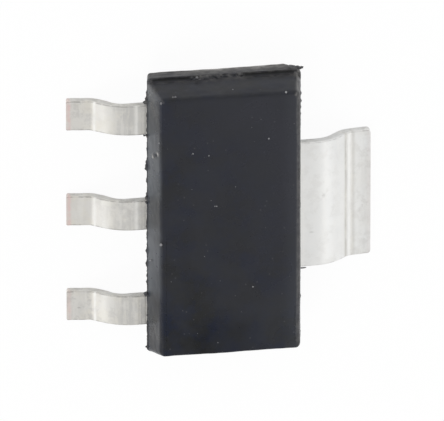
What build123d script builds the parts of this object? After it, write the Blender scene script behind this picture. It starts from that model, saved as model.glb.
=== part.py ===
"""Surface-mount power MOSFET in a four-terminal gull-wing package.

Millimetres. The board is the plane Z = 0, +X points to the wide drain tab, +Y to the gate lead's side.
The origin is on the board, under the middle of the package.
"""

from build123d import *
from math import cos, radians, sin, tan
import os

# Moulded body: two drafted halves that meet at the parting plane
body_width = 3.54            # along X, at the parting plane
body_length = 6.52           # along Y, of each half at the parting plane
mould_shift = 0.09           # how far the two mould halves closed out of line, along Y
standoff = 0.06              # board to underside
lower_depth = 0.77           # underside to parting plane
upper_height = 0.83          # parting plane to top face
draft_angle = 11.0
body_corner = 0.10           # radius of the four upright corners
body_edge = 0.05             # rounding round the top face and the underside

# Marks that the mould leaves
gate_scar_width = 1.25       # broken-off runner at the +Y end, along X
gate_scar_height = 0.13
gate_scar_offset = -0.20     # from the middle of the end, along X
ejector_diameter = 0.90      # two shallow rounds on the underside
ejector_depth = 0.03
ejector_spacing = 3.20

# Copper strip and its gull-wing form
strip = 0.25                 # thickness
lead_pitch = 2.30
lead_width = 0.70
tab_width = 3.00
lead_span = 7.08             # lead tips to tab edge, along X
foot_length = 0.40           # flat part that is soldered
upper_bend = 0.75            # centre-line radius at the shoulder
lower_bend = 0.55            # centre-line radius at the heel
bend_angle = 45.0
lead_corner = 0.04           # sheared corners at the lead tips
tab_corner = 0.09            # sheared corners at the tab edge

# What the strip has inside the body
post_wall = 0.32             # compound between a bond post and the lead side
post_depth = 0.50            # bond post, along X
post_width = 1.30            # bond post, along Y
post_corner = 0.08
stamp_gap = 0.25             # punched gap between the posts and the die pad
pad_length = 4.10            # die pad, along Y
pad_wall = 0.50              # compound between the die pad and the tab side
pad_corner = 0.15
lock_hole = 0.50             # holes through the tab's neck that the compound fills
lock_hole_wall = 0.30        # hole's edge to the body's side
lock_hole_spacing = 1.60
lock_notch = 0.20            # half-round notches in the necks of the leads

# Chip and its joints
die_width = 1.50             # along X
die_length = 2.40            # along Y
die_thickness = 0.22
solder_thickness = 0.04
solder_margin = 0.08         # solder showing round the chip
source_wire = 0.20           # diameters of the bond wires
gate_wire = 0.10
source_wire_gap = 0.20       # between the two source wires
bond_inset = 0.36            # middle of a bond to the chip's edge
gate_bond_inset = 0.24
loop_height = 0.20           # chip's top face to the underside of the wire's loop

# Wedge bonds, as shares of the wire's diameter
bond_length = 2.0
bond_width = 1.3
bond_thickness = 0.45
bond_shift = 0.3             # middle of the bond outwards from the end of the wire's arch
bond_sink = 0.2              # how far the arch is pressed into the face under it

# Heights above the board
parting_z = standoff + lower_depth
top_z = parting_z + upper_height
solder_top_z = parting_z + solder_thickness
die_top_z = solder_top_z + die_thickness

# Places along X
half_width = body_width / 2
post_outer_x = -half_width + post_wall
post_inner_x = post_outer_x + post_depth
post_x = (post_outer_x + post_inner_x) / 2
pad_inner_x = post_inner_x + stamp_gap
pad_outer_x = half_width - pad_wall
die_x = (pad_inner_x + pad_outer_x) / 2
bend_drop = parting_z - strip
heel_x = lead_span / 2 - foot_length
bend_run = (
    (upper_bend + lower_bend) * tan(radians(bend_angle) / 2)
    + bend_drop / tan(radians(bend_angle))
)
shoulder_x = heel_x - bend_run
wing_x = shoulder_x - strip  # the formed ends start here, a little before their first bend


def bar(x_start, x_end, width, y=0.0):
    """Rectangle between two places along X, centred on y."""
    return Pos((x_start + x_end) / 2, y) * Rectangle(x_end - x_start, width)


def stamped(outline):
    """Flat plate of strip whose top face is the parting plane."""
    return extrude(Plane.XY.offset(parting_z) * outline, -strip)


def gull_wing(width, corner, y=0.0):
    """Formed end of the strip on the +X side: shoulder bend, slope, heel bend and flat foot."""
    centre_z = parting_z - strip / 2
    first_corner_x = shoulder_x + upper_bend * tan(radians(bend_angle) / 2)
    second_corner_x = first_corner_x + bend_drop / tan(radians(bend_angle))
    path = FilletPolyline(
        (wing_x, y, centre_z),
        (first_corner_x, y, centre_z),
        (second_corner_x, y, strip / 2),
        (lead_span / 2, y, strip / 2),
        radius=[upper_bend, lower_bend],
    )
    section = Plane((wing_x, y, centre_z), x_dir=(0, 1, 0), z_dir=(1, 0, 0)) * Rectangle(width, strip)
    wing = sweep(section, path)
    tip_edges = wing.edges().filter_by(Axis.Z).group_by(Axis.X)[-1]
    return fillet(tip_edges, corner)


def lead_wing(y):
    """Gull wing of a narrow lead, on the -X side."""
    return mirror(gull_wing(lead_width, lead_corner, y), about=Plane.YZ)


def lead_neck(y):
    """Straight part of a lead from its bond post or die pad to the shoulder bend, with its lock notches."""
    neck_end_x = post_x if y else die_x
    neck = bar(-wing_x, neck_end_x, lead_width, y)
    notch_x = -half_width + post_wall / 2
    for side in (-1, 1):
        neck -= Pos(notch_x, y + side * lead_width / 2) * Circle(lock_notch / 2)
    return neck


def drain_leadframe():
    """Tab, die pad and centre lead, stamped in one piece."""
    pad = Pos(die_x, 0) * RectangleRounded(pad_outer_x - pad_inner_x, pad_length, pad_corner)
    outline = pad + bar(die_x, wing_x, tab_width) + lead_neck(0)
    hole_x = half_width - lock_hole_wall - lock_hole / 2
    for side in (-1, 1):
        outline -= Pos(hole_x, side * lock_hole_spacing / 2) * Circle(lock_hole / 2)
    return stamped(outline) + gull_wing(tab_width, tab_corner) + lead_wing(0)


def outer_lead(y):
    """Gate or source lead with its bond post."""
    post = Pos(post_x, y) * RectangleRounded(post_depth, post_width, post_corner)
    return stamped(post + lead_neck(y)) + lead_wing(y)


def mosfet_die():
    return Pos(die_x, 0, solder_top_z) * extrude(Rectangle(die_width, die_length), die_thickness)


def die_attach():
    """Solder layer whose edges slope up to the chip."""
    foot_width = die_width + 2 * solder_margin
    foot_length_y = die_length + 2 * solder_margin
    return Pos(die_x, 0, parting_z) * extrude(Rectangle(foot_width, foot_length_y), solder_thickness, taper=45)


def bond_wire(start, end, diameter):
    """Arched round wire with a squashed wedge bond at each end.

    Start lies on the chip's top face and end on a bond post. The arch is one arc in an upright plane,
    and it runs into the heel of each bond.
    """
    across = Vector(end[0] - start[0], end[1] - start[1], 0)
    along = across.normalized()
    run = across.length
    upright = Plane((start[0], start[1], 0), x_dir=along, z_dir=along.cross(Vector(0, 0, 1)))
    sink = bond_sink * diameter
    crown_z = start[2] + loop_height + diameter / 2
    path = upright * ThreePointArc((0, start[2] - sink), (run / 2, crown_z), (run, end[2] - sink))
    wire = sweep((path ^ 0) * Circle(diameter / 2), path)
    turn = Vector(1, 0, 0).get_signed_angle(along, Vector(0, 0, 1))
    for place, bond_point, outward in ((0, start, -1), (run, end, 1)):
        below = Box(4 * diameter, 2 * diameter, 2 * diameter, align=(Align.CENTER, Align.MAX, Align.CENTER))
        wire -= upright * Pos(place, bond_point[2]) * below
        bond = extrude(Rectangle(bond_length * diameter, bond_width * diameter), bond_thickness * diameter)
        wire += Pos(*bond_point) * Rot(0, 0, turn) * Pos(outward * bond_shift * diameter, 0, 0) * bond
    return wire


def gate_bond_wire():
    start = (die_x - die_width / 2 + gate_bond_inset, die_length / 2 - gate_bond_inset, die_top_z)
    return bond_wire(start, (post_x, lead_pitch, parting_z), gate_wire)


def source_bond_wire(number):
    """Wires 1 and 2 lie side by side, about the middle of the source post."""
    pitch = source_wire + source_wire_gap
    shift = (number - 1.5) * pitch
    start = (die_x, -die_length / 2 + bond_inset + pitch / 2 - shift, die_top_z)
    return bond_wire(start, (post_x, -lead_pitch + pitch / 2 - shift, parting_z), source_wire)


def body_half(height, taper_side, y):
    """One drafted half of the body, from the parting plane up (+1) or down (-1), with corners and rim rounded."""
    half = extrude(Rectangle(body_width, body_length), height, taper=draft_angle)
    upright_edges = half.edges().filter_by(lambda edge: abs(edge.tangent_at(0.5).Z) > 0.5)
    half = fillet(upright_edges, body_corner)
    half = fillet(half.faces().sort_by(Axis.Z)[-1].edges(), body_edge)
    if taper_side < 0:
        half = mirror(half, about=Plane.XY)
    return Pos(0, y, parting_z) * half


def gate_scar():
    """Broken stub of the runner, in the step that the shifted halves leave at the +Y end."""
    reach = mould_shift + gate_scar_height * tan(radians(draft_angle))
    end_y = (body_length + mould_shift) / 2
    block = Box(gate_scar_width, reach, gate_scar_height, align=(Align.CENTER, Align.MAX, Align.MIN))
    return Pos(gate_scar_offset, end_y, parting_z) * block


def mould_body(inner_pieces):
    """Epoxy body, cast round everything that it holds."""
    body = body_half(upper_height, 1, -mould_shift / 2) + body_half(lower_depth, -1, mould_shift / 2)
    body += gate_scar()
    for side in (-1, 1):
        mark = Cylinder(ejector_diameter / 2, ejector_depth, align=(Align.CENTER, Align.CENTER, Align.MIN))
        body -= Pos(0, mould_shift / 2 + side * ejector_spacing / 2, standoff) * mark
    for piece in inner_pieces:
        body -= piece
    return body


def main():
    os.makedirs("parts", exist_ok=True)
    pieces = {
        "drain_leadframe": drain_leadframe(),
        "gate_lead": outer_lead(lead_pitch),
        "source_lead": outer_lead(-lead_pitch),
        "die_attach": die_attach(),
        "mosfet_die": mosfet_die(),
        "gate_bond_wire": gate_bond_wire(),
        "source_bond_wire_1": source_bond_wire(1),
        "source_bond_wire_2": source_bond_wire(2),
    }
    pieces["mould_body"] = mould_body(pieces.values())
    for name, piece in pieces.items():
        export_step(piece, f"parts/{name}.step")


main()
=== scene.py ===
"""Finished surfaces of a surface-mount power MOSFET, in metres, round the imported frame.

The board is the plane z = 0, +x points to the wide tab and +y to the gate lead's end.
"""

from collections import namedtuple
from math import cos, pi, radians, sin, tan

import bpy
import numpy as np
from mathutils import Matrix, Vector


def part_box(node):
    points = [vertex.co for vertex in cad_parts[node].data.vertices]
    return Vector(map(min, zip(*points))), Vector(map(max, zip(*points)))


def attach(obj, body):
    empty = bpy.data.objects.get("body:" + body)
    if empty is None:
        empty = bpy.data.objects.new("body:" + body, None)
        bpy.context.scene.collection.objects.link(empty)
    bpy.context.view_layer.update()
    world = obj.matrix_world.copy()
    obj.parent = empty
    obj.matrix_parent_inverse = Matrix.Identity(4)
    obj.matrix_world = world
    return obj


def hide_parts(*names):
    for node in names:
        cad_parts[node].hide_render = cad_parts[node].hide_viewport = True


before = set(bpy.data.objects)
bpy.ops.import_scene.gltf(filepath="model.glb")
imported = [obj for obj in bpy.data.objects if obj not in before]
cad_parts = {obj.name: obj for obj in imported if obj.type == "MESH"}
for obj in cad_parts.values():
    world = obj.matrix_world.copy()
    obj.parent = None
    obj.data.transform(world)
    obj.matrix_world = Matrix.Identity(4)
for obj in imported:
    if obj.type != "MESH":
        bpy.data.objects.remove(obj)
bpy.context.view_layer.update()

MM = 0.001

# Sizes that the frame gives
BODY_LOW, BODY_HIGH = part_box("mould_body")
STRIP_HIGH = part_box("drain_leadframe")[1]
GATE_LOW, GATE_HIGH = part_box("gate_lead")
HALF_SPAN = STRIP_HIGH.x
PARTING_Z = STRIP_HIGH.z
LEAD_PITCH = (GATE_LOW.y + GATE_HIGH.y) / 2
PAD_HALF_LENGTH = STRIP_HIGH.y
POST_HALF_WIDTH = (GATE_HIGH.y - GATE_LOW.y) / 2

# Sizes of the moulded body that its box doesn't give
MOULD_SHIFT = 0.09 * MM
DRAFT = radians(11)
CORNER = 0.10 * MM
SIDE_RIM, GATE_RIM = 0.15 * MM, 0.13 * MM  # rounding round the top face
FAR_RIM, LOW_RIM = 0.045 * MM, 0.05 * MM  # rounding at the top's far end and round the underside
WITNESS = 0.012 * MM  # height of the band that the two mould halves leave at the parting line
HALF_LENGTH = (BODY_HIGH.y - BODY_LOW.y - MOULD_SHIFT) / 2
EJECTOR_REACH = 1.60 * MM  # from the middle of the underside to each ejector mark
EJECTOR_RADIUS = 0.45 * MM
EJECTOR_DEPTH = 0.03 * MM
SCAR_START, SCAR_END = -0.77 * MM, 0.43 * MM
PIT_Y, PIT_Z, PIT_RING = 1.620, 1.335, 0.070  # middle and ring of the pit on the leads' side, in mm

# Sizes of the formed strip
STRIP = 0.25 * MM
LEAD_HALF_WIDTH = 0.35 * MM
TAB_HALF_WIDTH = 1.50 * MM
POST_DEPTH = 0.50 * MM
PAD_INNER = -0.70 * MM
PAD_OUTER = 1.27 * MM
SHOULDER_BEND, HEEL_BEND, TOE_BEND = 0.88 * MM, 0.28 * MM, 0.48 * MM  # radii of the strip's middle
SLOPE, FOOT_TILT = radians(43.1), radians(9.8)
FOOT_RUN = 0.34 * MM  # length of the tilted part of the foot
TOE = 0.11 * MM  # length of the level part at the tip
ANVIL = 0.062 * MM  # how far the forming anvil pressed in the underside of a lead's shoulder
LEAD_CORNER = 0.04 * MM
TAB_CORNER = 0.09 * MM

# Places of tool marks on the strip, in mm from the body's middle
CLAMP_BACK = 1.805  # the clamp's back line on a lead
TAB_HEEL_LINE, TAB_FOOT_LINE = 2.828, 3.062  # the two pressed lines on the tab
TAB_DENT, TAB_SCRATCH = (2.279, 0.192), (2.020, -0.674)

# How the leads' finishes differ: bare copper at the tip, place of the heel's line in mm, resin film outside
# the clamp's line, its reach in mm, how bright the painted highlight on the clamp's line is, resin film
# between that line and the body, strength of the dark line there, film on the foot, mottling of the foot and
# mottling of the slope
Lead = namedtuple(
    "Lead", "copper heel resin resin_reach clamp inner_resin line soiled foot_mottle slope_mottle"
)
GATE_LEAD = Lead(
    copper=0.82, heel=2.832, resin=1.50, resin_reach=2.24, clamp=1.0,
    inner_resin=0.70, line=0.30, soiled=0.0, foot_mottle=0.75, slope_mottle=0.28,
)
DRAIN_LEAD = Lead(
    copper=0.82, heel=2.828, resin=0.75, resin_reach=2.44, clamp=0.8,
    inner_resin=0.85, line=0.55, soiled=0.0, foot_mottle=0.22, slope_mottle=0.56,
)
SOURCE_LEAD = Lead(
    copper=0.54, heel=2.824, resin=1.65, resin_reach=2.22, clamp=0.0,
    inner_resin=2.40, line=0.50, soiled=0.36, foot_mottle=1.15, slope_mottle=0.80,
)

# Larger tongues of flash: place along y, how far they stand out (below 0 where the flash is broken back) and
# half width, in mm
LEADS_TONGUES = (
    (1.125, 0.044, 0.035), (1.200, 0.030, 0.050), (1.295, 0.026, 0.042), (-0.855, 0.030, 0.048),
    (-1.154, 0.038, 0.040), (-1.215, 0.018, 0.030), (-1.040, -0.016, 0.040), (-1.450, 0.016, 0.035),
    (-1.595, 0.018, 0.030), (0.86, 0.018, 0.05), (-0.45, 0.014, 0.05), (1.420, -0.005, 0.050),
    (0.700, -0.006, 0.060), (1.830, -0.008, 0.070), (3.100, -0.008, 0.180), (-2.800, 0.010, 0.060),
)
TAB_TONGUES = (
    (1.97, 0.008, 0.04), (2.22, 0.012, 0.035), (2.385, 0.016, 0.04), (2.53, 0.024, 0.035),
    (2.71, 0.022, 0.05), (2.90, 0.006, 0.05), (-2.20, 0.014, 0.05),
)


# ---------------------------------------------------------------- numbers to meshes


def cloudy(points, size, seed):
    """Smooth noise from -1 to 1: random numbers on a cubic lattice, blended between its corners."""
    lattice = np.random.default_rng(seed).uniform(-1, 1, (24, 24, 24))
    cell = np.asarray(points) / size
    low = np.floor(cell).astype(int)
    part = cell - low
    part = part * part * (3 - 2 * part)
    total = 0
    for corner in np.ndindex(2, 2, 2):
        share = np.prod(np.where(np.array(corner) == 1, part, 1 - part), axis=-1)
        index = (low + np.array(corner)) % 24
        total = total + share * lattice[index[..., 0], index[..., 1], index[..., 2]]
    return total


def rugged(points, size, seed):
    """Three layers of smooth noise, each half as large and half as strong as the one before."""
    return sum(cloudy(points, size / 2**layer, seed + layer) / 2**layer for layer in range(3))


def bell(distance, width):
    """Bell curve: 1 at no distance, falling off over the width."""
    return np.exp(-((distance / width) ** 2))


def step(value, start, end):
    """Smooth step from 0 at start to 1 at end."""
    share = np.clip((value - start) / (end - start), 0, 1)
    return share * share * (3 - 2 * share)


def spread(count, focus, width, gain):
    """Numbers from 0 to 1, closer together round the focus: the running sum of 1 + gain * bell, inverted."""
    fine = np.linspace(0, 1, 2001)
    density = 1 + gain * bell(fine - focus, width)
    reached = np.concatenate([[0], np.cumsum((density[1:] + density[:-1]) / 2)])
    return np.interp(np.linspace(0, 1, count) * reached[-1], reached, fine)


def placed(x, y, z):
    """Points from their coordinates, each an array or one number for all."""
    return np.stack(np.broadcast_arrays(x, y, z), axis=-1)


def spot(u, v, place, radius):
    """Round spot at a place: a bell curve of the distance from it."""
    return bell(np.hypot(u - place[0], v - place[1]), radius)


def grid_faces(rows, columns, first, closed):
    """Quads between neighbouring rows and columns. A closed grid joins its last column to its first."""
    across = columns if closed else columns - 1
    row, column = np.meshgrid(np.arange(rows - 1), np.arange(across), indexing="ij")
    beside = (column + 1) % columns
    here, above = row * columns, (row + 1) * columns
    corners = (here + column, here + beside, above + beside, above + column)
    return first + np.stack(corners, axis=-1).reshape(-1, 4)


def signed_volume(points, faces):
    """Six times the volume that the quads enclose: positive where they point outwards."""
    a, b, c, d = (points[faces[:, k]] for k in range(4))
    return np.sum(a * np.cross(b, c)) + np.sum(a * np.cross(c, d))


def put_in_scene(name, data):
    """New object in the scene, for a mesh, a light or the camera."""
    item = bpy.data.objects.new(name, data)
    bpy.context.scene.collection.objects.link(item)
    return item


def surface(name, grids, material, node=None, values=None):
    """One piece of closed skins, from grids of points that meet along their borders.

    Each grid is (points, closed). Points that fall together are merged, and the faces point outwards.
    values holds a number for each point under a name that the materials read.
    """
    points = np.concatenate([grid.reshape(-1, 3) for grid, _ in grids])
    firsts = np.cumsum([0] + [grid[..., 0].size for grid, _ in grids[:-1]])
    faces = np.concatenate(
        [grid_faces(*grid.shape[:2], first, closed) for (grid, closed), first in zip(grids, firsts)]
    )
    cells = np.round(points / (1e-4 * MM)).astype(np.int64)
    _, kept, merged = np.unique(cells, axis=0, return_index=True, return_inverse=True)
    faces = merged.reshape(-1)[faces]
    points = points[kept]
    if signed_volume(points, faces) < 0:
        faces = faces[:, ::-1]
    mesh = bpy.data.meshes.new(name)
    polygons = [tuple(dict.fromkeys(face)) for face in faces.tolist()]
    mesh.from_pydata(points, [], [face for face in polygons if len(face) > 2])
    for key, numbers in (values or {}).items():
        layer = mesh.attributes.new(key, "FLOAT", "POINT")
        column = np.concatenate([part.reshape(-1) for part in numbers])[kept]
        layer.data.foreach_set("value", column.astype(np.float32))
    mesh.shade_smooth()
    mesh.validate()
    mesh.materials.append(material)
    piece = put_in_scene(name, mesh)
    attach(piece, "root")
    if node:
        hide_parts(node)
    return piece


# ---------------------------------------------------------------- materials


def feed(tree, node, inputs):
    """Feeds a node's inputs: links a socket, or sets a number, a colour or three scales on the input."""
    for key, source in inputs.items():
        socket = node.inputs[key]
        if isinstance(source, bpy.types.NodeSocket):
            tree.links.new(source, socket)
        elif isinstance(source, tuple):
            socket.default_value = (*source, 1.0)[: len(socket.default_value)]
        else:
            socket.default_value = source


def new_node(tree, kind, inputs, **settings):
    """New node of a kind, with its settings made and its inputs fed."""
    node = tree.nodes.new(kind)
    for key, setting in settings.items():
        setattr(node, key, setting)
    feed(tree, node, inputs)
    return node


def new_material(name):
    """Material with a Principled BSDF, and its Object coordinates in millimetres."""
    material = bpy.data.materials.new(name)
    material.use_nodes = True
    tree = material.node_tree
    place = new_node(tree, "ShaderNodeTexCoord", {}).outputs["Object"]
    scaled = new_node(tree, "ShaderNodeVectorMath", {0: place, "Scale": 1 / MM}, operation="SCALE")
    return material, tree, tree.nodes["Principled BSDF"], scaled.outputs[0]


def noise(tree, vector, scale, detail=3.0, roughness=0.55):
    """Cloudy noise that stays near one half."""
    inputs = {"Vector": vector, "Scale": scale, "Detail": detail, "Roughness": roughness}
    return new_node(tree, "ShaderNodeTexNoise", inputs).outputs["Fac"]


def attribute(tree, name):
    """The number that each point of the mesh holds under a name."""
    return new_node(tree, "ShaderNodeAttribute", {}, attribute_name=name).outputs["Fac"]


def ranged(tree, value, low, high, to_low=0.0, to_high=1.0):
    """Smooth step of a value from one range into another."""
    inputs = {"Value": value, "From Min": low, "From Max": high, "To Min": to_low, "To Max": to_high}
    return new_node(tree, "ShaderNodeMapRange", inputs, interpolation_type="SMOOTHSTEP").outputs["Result"]


def stretched(tree, vector, scale):
    """Place with each direction drawn out by its own scale, for streaks."""
    return new_node(tree, "ShaderNodeVectorMath", {0: vector, 1: scale}, operation="MULTIPLY").outputs[0]


def product(tree, first, second):
    """Product of two sockets or numbers."""
    return new_node(tree, "ShaderNodeMath", {0: first, 1: second}, operation="MULTIPLY").outputs[0]


def larger(tree, first, second):
    """The larger of two sockets or numbers."""
    return new_node(tree, "ShaderNodeMath", {0: first, 1: second}, operation="MAXIMUM").outputs[0]


def mixed(tree, share, first, second):
    """Mix of two colours, each a socket or a colour."""
    return new_node(tree, "ShaderNodeMix", {0: share, 6: first, 7: second}, data_type="RGBA").outputs[2]


def layered(tree, colour, layers):
    """Lays colours over a first one, each by its own share."""
    for share, layer in layers:
        colour = mixed(tree, share, colour, layer)
    return colour


def uneven(tree, place, name, scale, clouds, shares, detail=3.0, roughness=0.55):
    """An attribute of the skin made uneven: a range of the noise's clouds becomes a range of shares of it."""
    cloudiness = noise(tree, place, scale, detail, roughness)
    return product(tree, attribute(tree, name), ranged(tree, cloudiness, *clouds, *shares))


def grain_group():
    """Fine grain for every finish: cloudy patches of colour, and a bump of fine grain."""
    group = bpy.data.node_groups.new("fine_grain", "ShaderNodeTree")
    sockets = {
        "INPUT": {"Place": "Vector", "Grain": "Float", "Depth": "Float", "Height": "Float"},
        "OUTPUT": {"Patches": "Float", "Grains": "Float", "Normal": "Vector"},
    }
    for side, kinds in sockets.items():
        for name, kind in kinds.items():
            group.interface.new_socket(name, in_out=side, socket_type="NodeSocket" + kind)
    given = new_node(group, "NodeGroupInput", {}).outputs
    patches = noise(group, given["Place"], 1.1, 4.0, 0.6)
    fine = noise(group, given["Place"], given["Grain"], 2.0, 0.5)
    raised = {"Strength": given["Depth"], "Distance": given["Height"], "Height": fine}
    bump = new_node(group, "ShaderNodeBump", raised).outputs["Normal"]
    new_node(group, "NodeGroupOutput", {"Patches": patches, "Grains": fine, "Normal": bump})
    return group


def place_grain(tree, vector, grain, depth, height):
    """The grain group placed in a material, with the grain's fineness, its strength and its height."""
    inputs = {"Place": vector, "Grain": grain, "Depth": depth, "Height": height}
    return new_node(tree, "ShaderNodeGroup", inputs, node_tree=GRAIN).outputs


def mould_compound():
    """Black epoxy filled with silica: satin near-black with a blue cast, read from attributes of the skin.

    tone: from the darkest skin to the palest; on the top face it holds painted shading. bloom: pale
    painted sheen, standing in for reflected light. dust: a grey dusting of the compound on rough
    and broken skin, and painted light: painted sheen, painted highlights and lifted shade; paler above 1.
    coarse: how rough the mould's own surface was. crevice: dark, where light hardly reaches. dull: where the
    skin mirrors less.
    """
    material, tree, shader, place = new_material("mould_compound")
    grain = place_grain(tree, place, 30.0, 0.30, 0.002 * MM)
    cast = ranged(tree, noise(tree, place, 2.0, 4.0, 0.6), 0.36, 0.64)
    specks = new_node(tree, "ShaderNodeTexVoronoi", {"Vector": place, "Scale": 4.2}).outputs["Distance"]
    thick = ranged(tree, attribute(tree, "dust"), 1.0, 2.0)
    dust_colour = mixed(tree, thick, (0.200, 0.194, 0.188), (0.440, 0.430, 0.415))
    skin_colour = mixed(tree, cast, (0.0000, 0.0035, 0.0165), (0.0045, 0.0050, 0.0050))
    layers = (
        (attribute(tree, "tone"), (0.0180, 0.0190, 0.0268)),
        (ranged(tree, grain["Patches"], 0.38, 0.62, 0.0, 0.56), (0.0155, 0.0170, 0.0225)),
        (ranged(tree, specks, 0.05, 0.09, 0.6, 0.0), (0.06, 0.06, 0.065)),
        # Painted sheen: a pale colour standing in for reflected light
        (uneven(tree, place, "bloom", 1.6, (0.3, 0.7), (0.80, 1.0)), (0.138, 0.152, 0.170)),
        # Grey dusting of the compound, and painted light: painted sheen, painted highlights and lifted shade
        (uneven(tree, place, "dust", 7.0, (0.35, 0.65), (0.45, 1.0)), dust_colour),
        (attribute(tree, "crevice"), (0.0010, 0.0010, 0.0010)),
    )
    satin = ranged(tree, grain["Patches"], 0.3, 0.7, 0.24, 0.34)
    rough = product(tree, attribute(tree, "coarse"), 0.62)
    inputs = {
        "Base Color": layered(tree, skin_colour, layers),
        "Roughness": larger(tree, satin, rough),
        "Normal": grain["Normal"],
        "IOR": 1.40,
        "Specular IOR Level": ranged(tree, attribute(tree, "dull"), 0.0, 1.0, 0.5, 0.1),
    }
    feed(tree, shader, inputs)
    return material


def tinned_copper():
    """Matt tin on stamped copper, read from attributes of the strip.

    warm_and_shade: how yellow the tin is; the yellower tin is also darker, painted shade on the leads and
    along the tab's pressed lines. mottle: how far grey stains show. edge: painted shade along the edges and in
    what is pressed in, and dark nicks and spots. film: thin resin that ran onto the strip, and on the tab
    painted shade in its pressed lines and over a band of its foot. painted_highlight: painted highlights at
    the tool marks, the bends, the tab's ridge and parts of the feet. cut: bare copper where the strip was
    trimmed.
    """
    material, tree, shader, place = new_material("tinned_copper")
    grain = place_grain(tree, place, 30.0, 0.22, 0.002 * MM)
    patches = ranged(tree, grain["Patches"], 0.35, 0.65)
    cool = mixed(tree, patches, (0.885, 0.888, 0.878), (0.920, 0.921, 0.906))
    hue = ranged(tree, noise(tree, place, 2.6), 0.38, 0.62)
    warm_and_shade = mixed(tree, hue, (0.786, 0.759, 0.690), (0.778, 0.762, 0.726))
    warm_and_shade = mixed(tree, product(tree, patches, 0.35), warm_and_shade, (0.820, 0.800, 0.750))
    stain = ranged(tree, noise(tree, place, 3.2, 5.0, 0.70), 0.46, 0.62, 0.0, 0.75)
    streak = noise(tree, stretched(tree, place, (7.0, 0.7, 2.0)), 1.0)
    banded = noise(tree, stretched(tree, place, (16.0, 1.5, 4.0)), 1.0)
    film = uneven(tree, place, "film", 4.0, (0.38, 0.60), (0.30, 1.0), 5.0, 0.65)
    layers = (
        # The yellower tin is also darker: painted shade on the leads and along the tab's pressed lines
        (attribute(tree, "warm_and_shade"), warm_and_shade),
        (product(tree, stain, attribute(tree, "mottle")), (0.60, 0.585, 0.555)),
        (ranged(tree, streak, 0.45, 0.75, 0.0, 0.30), (0.93, 0.92, 0.89)),
        (product(tree, film, ranged(tree, banded, 0.38, 0.56, 0.35, 1.0)), (0.595, 0.585, 0.560)),
        # Painted shade along the edges and in pressed lines, dents and scratches; dark nicks and spots
        (uneven(tree, place, "edge", 6.0, (0.40, 0.60), (0.10, 0.75)), (0.32, 0.31, 0.29)),
        # Painted highlights at the tool marks, the bends, the tab's ridge and parts of the feet
        (uneven(tree, place, "painted_highlight", 4.0, (0.30, 0.60), (0.60, 1.0)), (0.97, 0.965, 0.935)),
        (uneven(tree, place, "cut", 4.5, (0.36, 0.60), (0.35, 1.0)), (0.830, 0.635, 0.605)),
    )
    inputs = {
        "Base Color": layered(tree, cool, layers),
        "Metallic": 1.0,
        "Roughness": ranged(tree, grain["Grains"], 0.3, 0.7, 0.34, 0.42),
        "Normal": grain["Normal"],
    }
    feed(tree, shader, inputs)
    return material


def two_tone(name, dark, pale, roughness, grain_size, metallic):
    """Two close colours in patches over a fine grain, for a chip, solder, wire or grain of filler."""
    material, tree, shader, place = new_material(name)
    grain = place_grain(tree, place, grain_size, 0.2, 0.001 * MM)
    patches = ranged(tree, grain["Patches"], 0.35, 0.65)
    inputs = {
        "Base Color": mixed(tree, patches, dark, pale),
        "Metallic": metallic,
        "Roughness": ranged(tree, grain["Grains"], 0.3, 0.7, roughness - 0.05, roughness + 0.05),
        "Normal": grain["Normal"],
    }
    feed(tree, shader, inputs)
    return material


def dress_node(node, material):
    """Gives a CAD node that stays its own material."""
    for slot in bpy.data.objects[node].material_slots:
        slot.material = material


# ---------------------------------------------------------------- moulded body


def ring_places(along_short, along_long, corner_steps):
    """Places round a rounded rectangle, from the middle of one corner, anticlockwise.

    Each place is the corner centre's share along x and y, from -1 to 1, and the direction out of it.
    along_long runs from the low end in y to the high end on both long sides.
    """
    share_x, share_y, turn = [], [], []
    corners = ((1, -1), (1, 1), (-1, 1), (-1, -1))
    sides = (along_long, along_short, 1 - along_long[::-1], 1 - along_short[::-1])
    for side, along in enumerate(sides):
        start, end = corners[side], corners[(side + 1) % 4]
        arc = np.arange(corner_steps) / corner_steps * pi / 4
        first, last = np.ones(corner_steps), np.ones(corner_steps - 1)
        share_x += [first * start[0], start[0] + (end[0] - start[0]) * along, last * end[0]]
        share_y += [first * start[1], start[1] + (end[1] - start[1]) * along, last * end[1]]
        turn += [side * pi / 2 - pi / 4 + arc, side * pi / 2 + 0 * along, side * pi / 2 + arc[1:]]
    return np.concatenate(share_x), np.concatenate(share_y), np.concatenate(turn)


def half_profile(height, rim, wall, rim_steps):
    """Profile of one mould half from the parting line out to its flat face: inset and height.

    The wall leans in by the draft, and an arc of the rim's radius turns it into the flat face. The rim's
    radius may differ from place to place round the body, so each result has a row for each step and a column
    for each place.
    """
    centre_height = height - rim
    centre_inset = centre_height * tan(DRAFT) + rim / cos(DRAFT)
    angle = np.linspace(DRAFT, pi / 2, rim_steps)[:, None]
    rim_inset = centre_inset - rim * np.cos(angle)
    rim_height = centre_height + rim * np.sin(angle)
    wall_height = wall[:-1, None] * rim_height[:1]
    inset = np.concatenate([wall_height * tan(DRAFT), rim_inset])
    up = np.concatenate([wall_height, rim_height])
    return inset, up


def wall_rings(places, inset, z, centre_y):
    """Rings of points: one row for each step of the profile, one column for each place round the body.

    The corners close up with the inset, to a short arc at the gate's end and only a little at the other. The
    one between the gate's end and the tab is blunter.
    """
    share_x, share_y, turn = places
    blunt = 0.085 * MM * np.clip(share_x, 0, 1) ** 3 * np.clip(share_y, 0, 1) ** 3
    corner = np.clip(CORNER + blunt - (0.11 + 0.09 * share_y) * inset, 0.03 * MM, None)
    x = share_x * (BODY_HIGH.x - inset - corner) + corner * np.cos(turn)
    y = share_y * (HALF_LENGTH - inset - corner) + corner * np.sin(turn) + centre_y
    return placed(x, y, z)


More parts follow.
